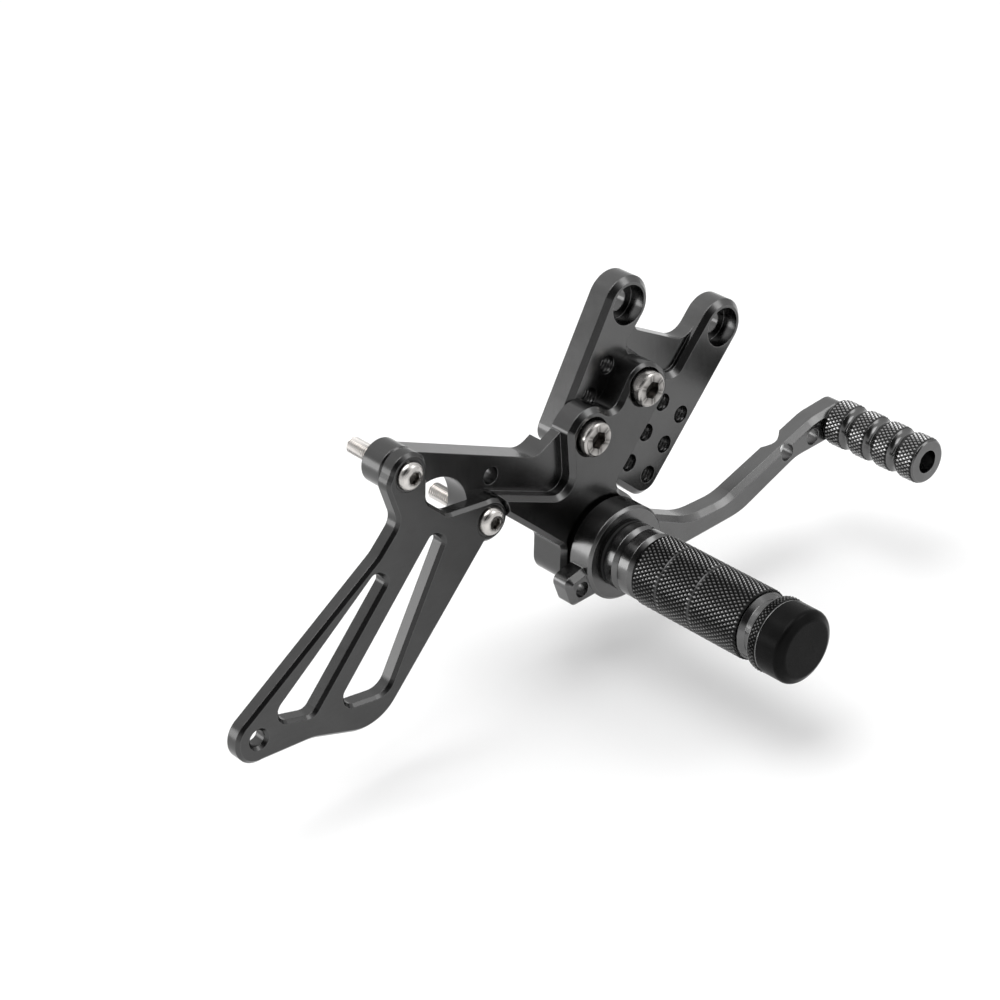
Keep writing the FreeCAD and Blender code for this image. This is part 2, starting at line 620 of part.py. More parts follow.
# Toe peg: bands parted by grooves, bored at both ends
toe_end = LEVER_FRONT - TOE_LENGTH
band_length = (TOE_LENGTH - (TOE_BANDS - 1) * TOE_GROOVE_LENGTH) / TOE_BANDS
toe_thread_radius = TOE_SCREW_DIAMETER / 2 + THREAD_CLEARANCE
toe_profile = [(LEVER_FRONT, toe_thread_radius)]
depth = LEVER_FRONT
for i in range(TOE_BANDS):
    toe_profile.append((depth, TOE_RADIUS - 0.6))
    toe_profile.append((depth - 0.6, TOE_RADIUS))
    depth = depth - band_length
    toe_profile.append((depth + 0.6, TOE_RADIUS))
    toe_profile.append((depth, TOE_RADIUS - 0.6))
    if i < TOE_BANDS - 1:
        toe_profile.append((depth, TOE_GROOVE_RADIUS))
        depth = depth - TOE_GROOVE_LENGTH
        toe_profile.append((depth, TOE_GROOVE_RADIUS))
toe_profile.append((toe_end, TOE_BORE_DIAMETER / 2))
toe_profile.append((toe_end + TOE_BORE_DEPTH, TOE_BORE_DIAMETER / 2))
toe_profile.append((toe_end + TOE_BORE_DEPTH + 2.5, 0.0))
toe_profile.append((LEVER_FRONT - TOE_THREAD_DEPTH - 2.0, 0.0))
toe_profile.append((LEVER_FRONT - TOE_THREAD_DEPTH, toe_thread_radius))
toe_peg = turned(toe_profile, on_lever, TIP_X, TIP_Z)
save(pivot_place(toe_peg), "toe_peg")

# Toe peg screw: countersunk, from behind the lever
sink_height = (TOE_SCREW_HEAD_DIAMETER - TOE_SCREW_DIAMETER) / 2
screw_back = LEVER_BACK - (COUNTERSINK_DIAMETER - TOE_SCREW_HEAD_DIAMETER) / 2
toe_screw = Part.makeCone(
    TOE_SCREW_HEAD_DIAMETER / 2, TOE_SCREW_DIAMETER / 2, sink_height,
    on_lever(TIP_X, TIP_Z, screw_back), OUTWARD)
toe_screw = toe_screw.fuse(
    disc(on_lever, TIP_X, TIP_Z, TOE_SCREW_DIAMETER / 2, screw_back - sink_height,
         screw_back - TOE_SCREW_LENGTH))
toe_screw = toe_screw.cut(
    hex_socket(on_lever, TIP_X, TIP_Z, TOE_SCREW_HEX, screw_back - TOE_SCREW_HEX_DEPTH,
               TOE_SCREW_HEX_DEPTH))
save(pivot_place(toe_screw), "toe_peg_screw")
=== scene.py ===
import json
import math

import bmesh
import bpy
from mathutils import Matrix, Vector


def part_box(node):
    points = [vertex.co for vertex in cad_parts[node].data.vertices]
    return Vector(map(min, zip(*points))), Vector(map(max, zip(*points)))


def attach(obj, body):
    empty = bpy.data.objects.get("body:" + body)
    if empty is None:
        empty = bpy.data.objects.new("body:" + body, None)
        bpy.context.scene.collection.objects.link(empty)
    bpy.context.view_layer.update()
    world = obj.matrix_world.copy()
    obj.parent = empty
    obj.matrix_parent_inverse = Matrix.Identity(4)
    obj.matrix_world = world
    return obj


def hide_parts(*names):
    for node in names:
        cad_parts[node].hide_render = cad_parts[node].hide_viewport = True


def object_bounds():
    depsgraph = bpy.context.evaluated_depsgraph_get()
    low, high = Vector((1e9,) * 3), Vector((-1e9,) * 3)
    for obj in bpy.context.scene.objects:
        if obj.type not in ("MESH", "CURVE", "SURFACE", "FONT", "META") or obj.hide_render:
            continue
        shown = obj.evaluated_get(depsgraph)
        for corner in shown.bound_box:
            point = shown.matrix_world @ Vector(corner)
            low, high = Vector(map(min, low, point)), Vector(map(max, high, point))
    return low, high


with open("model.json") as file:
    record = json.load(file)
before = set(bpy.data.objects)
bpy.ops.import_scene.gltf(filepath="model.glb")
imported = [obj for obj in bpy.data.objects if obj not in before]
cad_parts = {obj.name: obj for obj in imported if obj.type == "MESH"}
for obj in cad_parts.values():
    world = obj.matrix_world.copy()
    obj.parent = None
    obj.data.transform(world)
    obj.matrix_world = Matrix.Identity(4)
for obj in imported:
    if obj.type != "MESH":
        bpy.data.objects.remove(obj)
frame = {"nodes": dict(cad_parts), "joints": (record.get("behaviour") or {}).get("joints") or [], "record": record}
cad_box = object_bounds()

MM = 0.001
WELD_DISTANCE = 0.0001 * MM
ORIGIN = Vector((0.0, 0.0, 0.0))

# Places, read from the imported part
MOUNTS = {mount["name"]: Vector(mount["pos_m"]) for mount in frame["record"]["mounts"]}
PIVOT = Vector(frame["joints"][0]["pos_m"])
LEVER_RANGE = frame["joints"][0]["range_deg"]
STUD_PLACES = [MOUNTS["cylinder_stud_rear"], MOUNTS["cylinder_stud_front"]]

# Grid of tapped holes in the mount plate
GRID_U = 5.2 * MM
GRID_V = 21.7 * MM
GRID_PITCH = 12.5 * MM
GRID_COLUMNS = 5
GRID_ROWS = 3
CARRIER_SCREW_CELLS = [(2, 1), (1, 3)]
TAPPED_CORE_RADIUS = 3.4 * MM
TAPPED_STAND = 0.01 * MM
TAPPED_RIDGE = 0.36 * MM
TAPPED_PITCH = 1.25 * MM
TAPPED_INSET = 0.8 * MM
TAPPED_SIDES = 32

# Screw sizes: thread, then the hexagon socket across its flats and its depth
M6 = {"radius": 3.0 * MM, "pitch": 1.0 * MM, "hexagon": 4.0 * MM, "socket_depth": 2.0 * MM}
M8 = {"radius": 4.0 * MM, "pitch": 1.25 * MM, "hexagon": 6.0 * MM, "socket_depth": 4.0 * MM}
M10 = {"radius": 5.0 * MM, "pitch": 1.5 * MM, "hexagon": 8.0 * MM, "socket_depth": 5.0 * MM}

# Screw heads: (depth, radius) in millimetres, from the head's face out to its seat
BUTTON_HEAD = [
    (0.02, 2.75), (0.20, 3.30), (0.55, 3.95), (1.05, 4.52),
    (1.70, 4.95), (2.45, 5.20), (3.10, 5.25), (3.30, 5.05),
]
CAP_HEAD = [
    (0.00, 5.45), (0.12, 5.75), (0.55, 6.25), (0.80, 6.45),
    (1.30, 6.50), (7.30, 6.50), (7.70, 6.40), (8.00, 6.10),
]
BOLT_HEAD = [
    (0.00, 6.80), (0.15, 7.10), (0.70, 7.70), (1.00, 7.95),
    (1.60, 8.00), (9.20, 8.00), (9.70, 7.85), (10.0, 7.50),
]
SUNK_HEAD = [(0.00, 5.70), (0.25, 5.90), (0.45, 5.60), (3.00, 3.00)]
HEAD_SIDES = 96
HEAD_KNURL_DEPTH = 0.16 * MM
SOCKET_LIP = 0.15 * MM
SOCKET_BREAK = 0.06 * MM
SOCKET_MOUTH_SHARE = 1.10
SOCKET_CONE_SHARE = 0.25
SOCKET_SHADE_RADIUS = 3.75 * MM
SOCKET_SHADE_FLOOR = 4.4 * MM

# Screw threads
SHANK_SIDES = 48
SHANK_LAP = 0.2 * MM
THREAD_DEPTH_SHARE = 0.61
THREAD_RUNOUT_SHARE = 0.6
THREAD_FRACTIONS = (0.0, 0.40, 0.54, 0.94)
THREAD_SMOOTHING = 30.0
SCREW_SMOOTHING = 32.0

# Footpeg
PEG_RADIUS = 12.7 * MM
PEG_COLLAR = 6.2 * MM
PEG_GROOVE = 1.2 * MM
PEG_GRIP = 50.0 * MM
PEG_GRIP_LINES = (0.24, 0.56)
PEG_RING = 4.0 * MM
PEG_RING_RADIUS = 13.4 * MM
PEG_RING_EDGE = 0.4 * MM

# Toe peg
TOE_RADIUS = 8.5 * MM
TOE_BANDS = 4
TOE_GROOVE = 2.2 * MM
TOE_BAND_EDGE = 0.7 * MM
TOE_WAIST_RADIUS = 7.3 * MM
TOE_WAIST_LENGTH = 4.4 * MM
TOE_WAIST_STEPS = 12
TOE_RIM = 0.6 * MM
TOE_BORE_RADIUS = 4.5 * MM
TOE_BORE_DEPTH = 7.0 * MM
TOE_BORE_CONE = 2.5 * MM
TOE_THREAD_RADIUS = 3.05 * MM
TOE_THREAD_DEPTH = 18.0 * MM
TURNED_SIDES = 96
TURNED_SMOOTHING = 28.0

# Knurling
KNURL_STAND = 0.03 * MM
KNURL_DEPTH = 0.55 * MM
KNURL_RUNOUT = 0.9 * MM
KNURL_ANGLE = 32.0
KNURL_INSET = 0.3 * MM
PEG_KNURL_TEETH = 48
RING_KNURL_TEETH = 54
TOE_KNURL_TEETH = 34

# Floor
FLOOR_GAP = 0.5 * MM
FLOOR_REACH = 4.0

# Studio light; each soft box has its place from the middle of the part and its width in metres, and its watts
DOME_LOW = 0.75
DOME_RISE = 0.35
DOME_HEIGHTS = (-0.1, 0.9)
SCREEN_SHADE = 0.95
SCREEN_SPREAD = (0.60, 0.93)
SCREEN_HEIGHTS = (0.15, 0.40)
SOFT_BOXES = {
    "overhead_box": (Vector((-0.25, 0.15, 1.3)), 1.0, 9.0),
    "right_box": (Vector((0.65, -0.63, 0.78)), 0.45, 1.5),
    "back_box": (Vector((-0.75, 0.65, 0.10)), 0.4, 1.6),
}

# Camera, set to the photograph's viewing angle
CAMERA_PLACE = Vector((-0.5815, -0.6334, 0.4524))
CAMERA_RIGHT = Vector((0.7440, -0.6654, -0.0602))
CAMERA_UP = Vector((0.3905, 0.3599, 0.8473))
CAMERA_BACK = Vector((-0.5422, -0.6539, 0.5276))
CAMERA_LENS = 99.0
CAMERA_SENSOR = 36.0


class Shade:
    """One shader value; arithmetic on it adds Math nodes to its board."""

    def __init__(self, board, socket):
        self.board = board
        self.socket = socket

    def __add__(self, other):
        return self.board.maths("ADD", self, other)

    def __radd__(self, other):
        return self.board.maths("ADD", other, self)

    def __sub__(self, other):
        return self.board.maths("SUBTRACT", self, other)

    def __rsub__(self, other):
        return self.board.maths("SUBTRACT", other, self)

    def __mul__(self, other):
        return self.board.maths("MULTIPLY", self, other)

    def __rmul__(self, other):
        return self.board.maths("MULTIPLY", other, self)

    def __truediv__(self, other):
        return self.board.maths("DIVIDE", self, other)

    def __pow__(self, other):
        return self.board.maths("POWER", self, other)

    def clamped(self, low, high):
        """0 below the low value, 1 above the high one, smooth between."""
        return self.board.make(
            "ShaderNodeMapRange", {"interpolation_type": "SMOOTHSTEP", "clamp": True},
            {"Value": self, "From Min": low, "From Max": high})

    def part(self, letter):
        """One coordinate of a vector."""
        return self.board.make("ShaderNodeSeparateXYZ", {}, {0: self}, letter)


class Board:
    """The node tree of one finish."""

    def __init__(self, tree):
        self.tree = tree
        tree.nodes.clear()

    def make(self, kind, settings, values, out=0):
        """Adds a node: its settings first, then its sockets' values or links."""
        node = self.tree.nodes.new(kind)
        for name, setting in settings.items():
            setattr(node, name, setting)
        for name, value in values.items():
            if isinstance(value, Shade):
                self.tree.links.new(value.socket, node.inputs[name])
            else:
                node.inputs[name].default_value = value
        return Shade(self, node.outputs[out]) if node.outputs else None

    def maths(self, operation, first, second):
        return self.make("ShaderNodeMath", {"operation": operation}, {0: first, 1: second})

    def vector_maths(self, operation, first, second, out=0):
        return self.make("ShaderNodeVectorMath", {"operation": operation}, {0: first, 1: second}, out)

    def millimetres(self, stretch=(1.0, 1.0, 1.0)):
        """The place on the piece, in millimetres, stretched for grain that runs one way."""
        place = self.make("ShaderNodeTexCoord", {}, {}, "Object")
        return self.vector_maths("MULTIPLY", place, [share / MM for share in stretch])

    def noise(self, place, scale, detail=2.0, roughness=0.5):
        return self.make("ShaderNodeTexNoise", {}, {
            "Vector": place, "Scale": scale, "Detail": detail, "Roughness": roughness})

    def blend(self, amount, first, second):
        """A colour between two."""
        return self.make("ShaderNodeMix", {"data_type": "RGBA"}, {0: amount, 6: first, 7: second}, 2)

    def rounded_normal(self, radius):
        """The surface direction with edges softened by a small radius."""
        return self.make("ShaderNodeBevel", {"samples": 6}, {"Radius": radius})

    def edge_mask(self, rounded):
        """1 where the softened direction leaves the true one, along edges."""
        flat = self.make("ShaderNodeNewGeometry", {}, {}, "Normal")
        return 1.0 - self.vector_maths("DOT_PRODUCT", rounded, flat, "Value")

    def finish(self, values):
        shader = self.make("ShaderNodeBsdfPrincipled", {}, values)
        self.make("ShaderNodeOutputMaterial", {}, {"Surface": shader})


def new_finish(name):
    material = bpy.data.materials.new(name)
    material.use_nodes = True
    return material, Board(material.node_tree)


def grey(value, warmth=0.0):
    """A near-grey colour; positive warmth is towards red."""
    return (value * (1.0 + warmth), value, value * (1.0 - warmth), 1.0)


def anodised_finish(name, tone, roughness, stretch):
    """Dark anodised aluminium, milled: faint cutter grain, soft mottling, and a painted highlight along the edges.
    """
    material, board = new_finish(name)
    place = board.millimetres()
    mottle = board.noise(place, 0.09, 3.0)
    grain = board.noise(board.millimetres(stretch), 1.0, 2.0, 0.5)
    speck = board.noise(place, 2.2, 2.0)
    rounded = board.rounded_normal(0.35 * MM)
    # Painted highlight: along the edges the base colour turns much paler.
    painted_edge_highlight = board.edge_mask(rounded).clamped(0.002, 0.12)
    drift = (mottle * 0.6 + grain * 0.4).clamped(0.2, 0.8)
    face = board.blend(drift, grey(tone * 0.92, 0.004), grey(tone * 1.08, 0.0))
    colour = board.blend(painted_edge_highlight * 0.7, face, grey(tone * 2.2, 0.0))
    gloss = roughness + (mottle - 0.5) * 0.06 + (grain - 0.5) * 0.05 + (speck - 0.5) * 0.03
    height = grain * 0.6 + speck * 0.4
    normal = board.make("ShaderNodeBump", {}, {
        "Strength": 0.03, "Distance": 0.02 * MM, "Height": height, "Normal": rounded})
    board.finish({
        "Base Color": colour, "Metallic": 1.0, "Roughness": gloss, "Normal": normal})
    return material


def turned_finish(name, tone, roughness):
    """Dark anodised aluminium, turned: fine rings along the axis and a painted highlight along the edges."""
    material, board = new_finish(name)
    place = board.millimetres()
    rings = board.noise(board.millimetres((0.02, 5.0, 0.02)), 1.0, 3.0, 0.7)
    mottle = board.noise(place, 0.12, 3.0)
    rounded = board.rounded_normal(0.3 * MM)
    # Painted highlight: along the edges the base colour turns much paler.
    painted_edge_highlight = board.edge_mask(rounded).clamped(0.002, 0.12)
    face = board.blend(mottle.clamped(0.25, 0.75), grey(tone * 0.9, 0.004), grey(tone * 1.1))
    colour = board.blend(painted_edge_highlight * 0.7, face, grey(tone * 2.6))
    gloss = roughness + (rings - 0.5) * 0.12 + (mottle - 0.5) * 0.05
    normal = board.make("ShaderNodeBump", {}, {
        "Strength": 0.10, "Distance": 0.02 * MM, "Height": rings, "Normal": rounded})
    board.finish({
        "Base Color": colour, "Metallic": 1.0, "Roughness": gloss, "Normal": normal})
    return material


def knurled_finish(name, tone, axis, radius):
    """Anodised knurling: tooth tips paler in mottled patches, partly wear and partly painted highlight; painted
    shade darkens the roots.
    """
    material, board = new_finish(name)
    place = board.millimetres()
    across = place.part("X") - axis.x / MM
    above = place.part("Z") - axis.z / MM
    reach = (across * across + above * above) ** 0.5
    tip = (reach - (radius + KNURL_STAND) / MM) / (KNURL_DEPTH / MM)
    mottle = board.noise(place, 0.35, 3.0)
    speck = board.noise(place, 7.0, 2.0)
    # Tooth tips paler in mottled patches: partly wear, partly painted highlight.
    tip_wear_and_highlight = tip.clamped(0.62, 1.0) * mottle.clamped(0.10, 0.70)
    # Painted shade: towards the tooth roots the colour falls to a twelfth of the tone.
    flank_with_painted_root_shade = board.blend(tip.clamped(0.10, 0.75), grey(tone * 0.08), grey(tone))
    colour = board.blend(tip_wear_and_highlight, flank_with_painted_root_shade, grey(min(0.8, tone * 4.5), 0.01))
    gloss = 0.30 + (speck - 0.5) * 0.12 + (mottle - 0.5) * 0.08
    normal = board.make("ShaderNodeBump", {}, {
        "Strength": 0.25, "Distance": 0.03 * MM, "Height": speck})
    board.finish({
        "Base Color": colour, "Metallic": 1.0, "Roughness": gloss, "Normal": normal})
    return material


def steel_finish(name):
    """Plain stainless screws: turning rings round each screw's own axis, with painted shade in hollows and in the
    hex sockets.
    """
    material, board = new_finish(name)
    place = board.millimetres()
    across = place.part("X")
    above = place.part("Z")
    reach = (across * across + above * above) ** 0.5
    rings = board.make("ShaderNodeTexNoise", {"noise_dimensions": "1D"}, {
        "W": reach, "Scale": 3.2, "Detail": 3.0})
    mottle = board.noise(place, 0.6, 3.0)
    speck = board.noise(place, 12.0, 2.0)
    rounded = board.rounded_normal(0.2 * MM)
    bright = board.blend(mottle.clamped(0.25, 0.75), grey(0.68, 0.03), grey(0.80, 0.04))
    # Painted shade: where the surface is hollow the colour drops to a dark grey.
    crest = board.make("ShaderNodeNewGeometry", {}, {}, "Pointiness").clamped(0.44, 0.50)
    depth = place.part("Y")
    # Painted shade: inside the hex socket, near the axis and between its mouth and its floor, the colour turns
    # dark.
    inside = (SOCKET_SHADE_RADIUS / MM - reach).clamped(0.0, 0.25)
    above_floor = (SOCKET_SHADE_FLOOR / MM - depth).clamped(0.0, 0.2)
    socket = inside * depth.clamped(0.5, 0.9) * above_floor
    face = board.blend(crest, grey(0.10, 0.05), bright)
    face = board.blend(socket, face, grey(0.16, 0.06))
    gloss = 0.24 + (rings - 0.5) * 0.16 + (speck - 0.5) * 0.08
    height = rings * 0.7 + speck * 0.3
    normal = board.make("ShaderNodeBump", {}, {
        "Strength": 0.12, "Distance": 0.03 * MM, "Height": height, "Normal": rounded})
    board.finish({
        "Base Color": face, "Metallic": 1.0, "Roughness": gloss, "Normal": normal})
    return material


def moulded_finish(name, tone, roughness):
    """Satin black moulded plastic with a fine spark-eroded grain."""
    material, board = new_finish(name)
    place = board.millimetres()
    grain = board.noise(place, 3.5, 3.0, 0.6)
    mottle = board.noise(place, 0.15, 2.0)
    colour = board.blend(mottle.clamped(0.3, 0.7), grey(tone * 0.85), grey(tone * 1.25))
    gloss = roughness + (grain - 0.5) * 0.14 + (mottle - 0.5) * 0.06
    normal = board.make("ShaderNodeBump", {}, {
        "Strength": 0.12, "Distance": 0.05 * MM, "Height": grain})
    board.finish({
        "Base Color": colour, "Roughness": gloss, "Specular IOR Level": 0.05, "Normal": normal})
    return material


def bronze_finish(name):
    """Sintered bronze: grainy, with darker pores."""
    material, board = new_finish(name)
    place = board.millimetres()
    pores = board.noise(place, 6.0, 4.0, 0.7)
    colour = board.blend(pores.clamped(0.35, 0.65), (0.20, 0.12, 0.05, 1.0), (0.50, 0.34, 0.16, 1.0))
    gloss = 0.38 + (pores - 0.5) * 0.25
    normal = board.make("ShaderNodeBump", {}, {
        "Strength": 0.2, "Distance": 0.05 * MM, "Height": pores})
    board.finish({
        "Base Color": colour, "Metallic": 1.0, "Roughness": gloss, "Normal": normal})
    return material


def floor_finish():
    material, board = new_finish("studio_floor")
    board.finish({
        "Base Color": (0.93, 0.93, 0.93, 1.0), "Roughness": 0.7, "Specular IOR Level": 0.2})
    return material


def new_piece(name, mesh_build, material):
    """Turns a finished bmesh into an object with one material."""
    bmesh.ops.remove_doubles(mesh_build, verts=mesh_build.verts, dist=WELD_DISTANCE)
    bmesh.ops.dissolve_degenerate(mesh_build, edges=mesh_build.edges, dist=WELD_DISTANCE)
    mesh = bpy.data.meshes.new(name)
    mesh_build.to_mesh(mesh)
    mesh_build.free()
    mesh.materials.append(material)
    piece = bpy.data.objects.new(name, mesh)
    bpy.context.scene.collection.objects.link(piece)
    return piece


def smooth_by_angle(piece, degrees):
    piece.data.shade_smooth()
    piece.data.set_sharp_from_angle(angle=math.radians(degrees))


def ring_round(build, axis, depth, radii):
    """A ring round an axis along Y, with one radius for each of its points."""
    ring = []
    for i, radius in enumerate(radii):
        angle = 2.0 * math.pi * i / len(radii)
        ring.append(build.verts.new((
            axis.x + radius * math.cos(angle), depth, axis.z + radius * math.sin(angle))))
    return ring


def join_rings(build, inner, outer):
    """Faces between two rings of the same count."""
    count = len(inner)
    for i in range(count):
        j = (i + 1) % count
        build.faces.new((inner[i], inner[j], outer[j], outer[i]))


def close_ring(build, ring, middle, flip):
    """A fan from a ring to one middle point."""
    hub = build.verts.new(middle)
    count = len(ring)
    for i in range(count):
        j = (i + 1) % count
        corners = (ring[j], ring[i], hub) if flip else (ring[i], ring[j], hub)
        build.faces.new(corners)


def add_thread(build, axis, start, end, root, crest, pitch, sides, flip=False):
    """A helical thread along Y between two depths; its rows climb one pitch in each turn."""
    steps = len(THREAD_FRACTIONS)
    turns = int(math.ceil((end - start) / pitch)) + 2
    radii = (root, crest, crest, root)
    rows = []
    for row in range(turns * steps):
        turn, step = divmod(row, steps)
        line = []
        for i in range(sides):
            angle = 2.0 * math.pi * i / sides
            depth = start + (turn - 1 + THREAD_FRACTIONS[step] + i / sides) * pitch
            depth = min(max(depth, start), end)
            room = min(depth - start, end - depth)
            radius = root + (radii[step] - root) * min(1.0, room / (THREAD_RUNOUT_SHARE * pitch))
            line.append(build.verts.new((
                axis.x + radius * math.cos(angle), depth, axis.z + radius * math.sin(angle))))
        rows.append(line)
    for row in range(len(rows) - 1):
        for i in range(sides):
            if i + 1 < sides:
                corners = [rows[row][i], rows[row + 1][i], rows[row + 1][i + 1], rows[row][i + 1]]
            elif row + 1 + steps < len(rows):
                corners = [rows[row][i], rows[row + 1][i], rows[row + 1 + steps][0], rows[row + steps][0]]
            else:
                continue
            if flip:
                corners.reverse()
            build.faces.new(corners)


def socket_screw(name, head, size, length, material, knurled=False):
    """A screw along Y, from its head's face at the origin to its end at the given length."""
    build = bmesh.new()
    profile = [(depth * MM, radius * MM) for depth, radius in head]
    face_depth = profile[0][0]
    seat = profile[-1][0]
    widest = max(radius for depth, radius in profile)
    flat = size["hexagon"] / 2.0
    hexagon = []
    for i in range(HEAD_SIDES):
        angle = 2.0 * math.pi * i / HEAD_SIDES
        hexagon.append(flat / math.cos((angle + math.pi / 6.0) % (math.pi / 3.0) - math.pi / 6.0))
    mouth = [max(radius + SOCKET_BREAK, flat * SOCKET_MOUTH_SHARE) for radius in hexagon]

    floor_ring = ring_round(build, ORIGIN, size["socket_depth"], hexagon)
    close_ring(build, floor_ring, (0.0, size["socket_depth"] + SOCKET_CONE_SHARE * flat, 0.0), True)
    lip_ring = ring_round(build, ORIGIN, face_depth + SOCKET_LIP, hexagon)
    join_rings(build, floor_ring, lip_ring)
    last = ring_round(build, ORIGIN, face_depth, mouth)
    join_rings(build, lip_ring, last)
    for depth, radius in profile:
        tooth = HEAD_KNURL_DEPTH if knurled and radius == widest else 0.0
        ring = ring_round(build, ORIGIN, depth, [radius - tooth * (i % 2) for i in range(HEAD_SIDES)])
        join_rings(build, last, ring)
        last = ring
    close_ring(build, last, (0.0, seat, 0.0), False)

    start = seat - SHANK_LAP
    root = size["radius"] - THREAD_DEPTH_SHARE * size["pitch"]
    add_thread(build, ORIGIN, start, length, root, size["radius"], size["pitch"], SHANK_SIDES)
    for depth, flip in ((start, False), (length, True)):
        rim = ring_round(build, ORIGIN, depth, [root] * SHANK_SIDES)
        close_ring(build, rim, (0.0, depth, 0.0), flip)
    piece = new_piece(name, build, material)
    smooth_by_angle(piece, SCREW_SMOOTHING)
    return piece


def set_screw(piece, place, body, node, outward=True):
    """Puts a screw on its axis, head outward or inward, and lets it ride on its body."""
    turn = Matrix.Identity(4) if outward else Matrix.Rotation(math.pi, 4, "Z")
    piece.matrix_world = Matrix.Translation(place) @ turn
    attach(piece, body)
    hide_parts(node)


def knurled_sleeve(name, axis, near, far, radius, teeth, material, body, ring_lines=()):
    """Diamond knurling round an axis along Y: a lattice of pyramids between two depths."""
    build = bmesh.new()
    around = teeth * 2
    root = radius + KNURL_STAND
    width = 2.0 * math.pi * radius / teeth
    length = width / math.tan(math.radians(KNURL_ANGLE))
    count = max(4, 2 * round((near - far) / length))
    rows = []
    for j in range(count + 1):
        depth = near + (far - near) * j / count
        room = min(near - depth, depth - far)
        tooth = KNURL_DEPTH * min(1.0, room / KNURL_RUNOUT)
        radii = [root + tooth * ((i + j) % 2) for i in range(around)]
        if any(abs(j / count - line) < 0.5 / count for line in ring_lines):
            radii = [root + 0.5 * KNURL_DEPTH] * around
        rows.append(ring_round(build, axis, depth, radii))
    for j in range(count):
        for i in range(around):
            k = (i + 1) % around
            a, b, c, d = rows[j][i], rows[j][k], rows[j + 1][k], rows[j + 1][i]
            if (i + j) % 2 == 0:
                build.faces.new((a, b, c))
                build.faces.new((a, c, d))
            else:
                build.faces.new((a, b, d))
                build.faces.new((b, c, d))
    inner_near = ring_round(build, axis, near, [radius - KNURL_INSET] * around)
    inner_far = ring_round(build, axis, far, [radius - KNURL_INSET] * around)
    join_rings(build, inner_near, rows[0])
    join_rings(build, rows[-1], inner_far)
    join_rings(build, inner_far, inner_near)
    piece = new_piece(name, build, material)
    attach(piece, body)


def turned_piece(name, axis, profile, material, body):
    """A solid turned round an axis along Y; its (depth, radius) profile starts and ends on the axis."""
    build = bmesh.new()
    rings = [ring_round(build, axis, depth, [radius] * TURNED_SIDES) for depth, radius in profile[1:-1]]
    for ring, next_ring in zip(rings, rings[1:]):
        join_rings(build, ring, next_ring)
    close_ring(build, rings[0], (axis.x, profile[0][0], axis.z), True)
    close_ring(build, rings[-1], (axis.x, profile[-1][0], axis.z), False)
    bmesh.ops.recalc_face_normals(build, faces=build.faces)
    piece = new_piece(name, build, material)
    smooth_by_angle(piece, TURNED_SMOOTHING)
    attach(piece, body)
    return piece


def grid_place(column, row):
    """The axis of one hole of the grid; columns and rows are counted from 1."""
    u = GRID_U + (column - 1) * GRID_PITCH
    v = GRID_V + (row - 1) * GRID_PITCH
    half = math.sqrt(0.5)
    return Vector(((u - v) * half, 0.0, -(u + v) * half))


def soft_box(name, place, aim, width, power):
    lamp = bpy.data.lights.new(name, "AREA")
    lamp.shape = "SQUARE"
    lamp.size = width
    lamp.energy = power
    holder = bpy.data.objects.new(name, lamp)
    holder.location = place
    holder.rotation_mode = "QUATERNION"
    holder.rotation_quaternion = (aim - place).to_track_quat("-Z", "Y")
    bpy.context.scene.collection.objects.link(holder)


# Finishes
plate_finish = anodised_finish("plate_anodising", tone=0.105, roughness=0.22, stretch=(0.9, 0.2, 0.1))
# Carrier: the plate's anodising with a darker tone, as painted shade.
carrier_finish_painted_shade = anodised_finish("carrier_anodising_painted_shade", tone=0.085, roughness=0.22, stretch=(0.9, 0.2, 0.1))
# Heel guard: the plate's anodising with a darker tone, as painted shade.
guard_finish_painted_shade = anodised_finish("guard_anodising_painted_shade", tone=0.072, roughness=0.24, stretch=(0.2, 0.2, 0.8))
# Brake lever: the plate's anodising with a lighter tone, as painted reflection.
lever_finish_painted_light = anodised_finish("lever_anodising_painted_light", tone=0.135, roughness=0.25, stretch=(0.08, 0.8, 0.8))
peg_turned = turned_finish("footpeg_turning", tone=0.13, roughness=0.20)
screw_steel = steel_finish("screw_steel")
cap_plastic = moulded_finish("end_cap_plastic", tone=0.005, roughness=0.26)
thrust_plastic = moulded_finish("thrust_washer_plastic", tone=0.03, roughness=0.45)
bush_bronze = bronze_finish("bush_bronze")

NODE_FINISHES = {
    "mount_plate": plate_finish,
    "carrier_plate": carrier_finish_painted_shade,
    "carrier_screws": screw_steel,
    "heel_guard": guard_finish_painted_shade,
    "heel_guard_screws": screw_steel,
    "pivot_sleeve": screw_steel,
    "inner_thrust_washer": thrust_plastic,
    "outer_thrust_washer": thrust_plastic,
    "lever_bush": bush_bronze,
    "brake_lever": lever_finish_painted_light,
    "footpeg": peg_turned,
    "peg_end_cap": cap_plastic,
    "peg_bolt": screw_steel,
    "peg_bolt_washer": screw_steel,
    "toe_peg": peg_turned,
    "toe_peg_screw": screw_steel,
}
for node, material in NODE_FINISHES.items():
    for material_slot in frame["nodes"][node].material_slots:
        material_slot.material = material

# Heel guard screws: domed heads, long threads behind the arm
stud_low, stud_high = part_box("heel_guard_screws")
for i, stud_place in enumerate(STUD_PLACES):
    stud = socket_screw(
        "heel_guard_screw_" + str(i + 1), BUTTON_HEAD, M6, stud_high.y - stud_low.y, screw_steel)
    set_screw(stud, Vector((stud_place.x, stud_low.y, stud_place.z)), "rearset", "heel_guard_screws")

